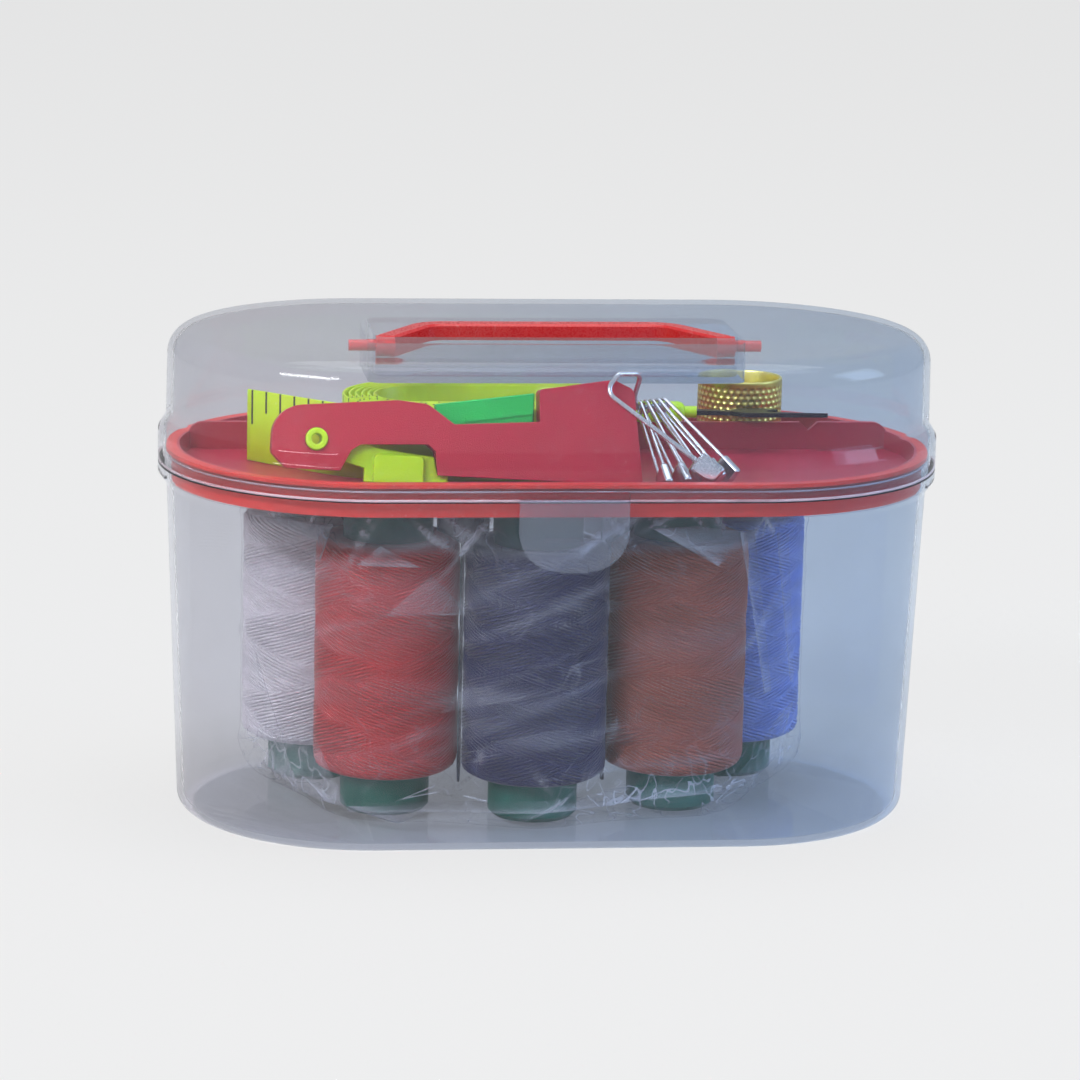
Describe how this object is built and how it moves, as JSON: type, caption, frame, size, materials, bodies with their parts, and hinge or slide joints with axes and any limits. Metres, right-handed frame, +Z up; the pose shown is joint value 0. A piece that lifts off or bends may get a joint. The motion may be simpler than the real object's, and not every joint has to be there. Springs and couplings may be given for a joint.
{
  "type": "sewing kit box",
  "caption": "Clear oval sewing box with hinged latched lid, fold-down handle and lift-out tray, holding thread spools and small sewing tools.",
  "frame": {"origin": "centre of the flat face that the box stands on", "axes": "+X along the box's long side, -Y to the latch side, +Z up"},
  "size_m": [0.14, 0.0799, 0.0876],
  "materials": {
    "clear_plastic": "clear moulded polypropylene, slightly milky",
    "handle_red": "moulded, satin",
    "tray_red": "moulded, satin",
    "bag_film": "thin clear crinkled film",
    "tape_yellow_green": "coated tape with black division lines",
    "thimble_brass": "knurled, bright",
    "threader_crimson": "moulded, satin",
    "yellow_green_plastic": "moulded, satin",
    "green_plastic": "moulded, satin",
    "dark_steel": "blued steel",
    "pin_steel": "bright plated steel",
    "thread_white": "cross-wound sewing thread",
    "thread_red": "cross-wound sewing thread",
    "thread_navy": "cross-wound sewing thread",
    "thread_brown": "cross-wound sewing thread",
    "thread_blue": "cross-wound sewing thread",
    "core_green": "moulded, satin"
  },
  "bodies": {
    "box": {"box_body": "clear_plastic", "film_bag": "bag_film", "white_thread": "thread_white", "red_thread": "thread_red", "navy_thread": "thread_navy", "brown_thread": "thread_brown", "blue_thread": "thread_blue", "white_spool_core": "core_green", "red_spool_core": "core_green", "navy_spool_core": "core_green", "brown_spool_core": "core_green", "blue_spool_core": "core_green"},
    "tray": {"tray": "tray_red", "tape_measure": "tape_yellow_green", "thimble": "thimble_brass", "threader_body": "threader_crimson", "threader_guide": "green_plastic", "seam_ripper_handle": "yellow_green_plastic", "seam_ripper_blade": "dark_steel", "small_pin_wires": "pin_steel", "small_pin_caps": "pin_steel", "big_pin_wire": "pin_steel", "big_pin_cap": "pin_steel"},
    "threader_lever": {"threader_lever": "yellow_green_plastic"},
    "lid": {"lid": "clear_plastic"},
    "latch": {"latch_flap": "clear_plastic"},
    "handle": {"carry_handle": "handle_red"}
  },
  "joints": [
    {"name": "lid_hinge", "type": "hinge", "parent": "box", "child": "lid", "pos_m": [0, 0.0381, 0.0634], "axis": [-1, 0, 0], "range_deg": [0, 180]},
    {"name": "latch_hinge", "type": "hinge", "parent": "lid", "child": "latch", "pos_m": [0, -0.03825, 0.0635], "axis": [-1, 0, 0], "range_deg": [0, 95]},
    {"name": "handle_hinge", "type": "hinge", "parent": "lid", "child": "handle", "pos_m": [0, -0.0065, 0.0852], "axis": [1, 0, 0], "range_deg": [0, 110]},
    {"name": "tray_lift", "type": "slide", "parent": "box", "child": "tray", "axis": [0, 0, 1], "range_m": [0, 0.002]},
    {"name": "threader_press", "type": "hinge", "parent": "tray", "child": "threader_lever", "pos_m": [-0.04346, -0.02161, 0.07158], "axis": [0, -0.9781, 0.2079], "range_deg": [0, 5], "stiffness_Nm_per_rad": 0.05}
  ]
}
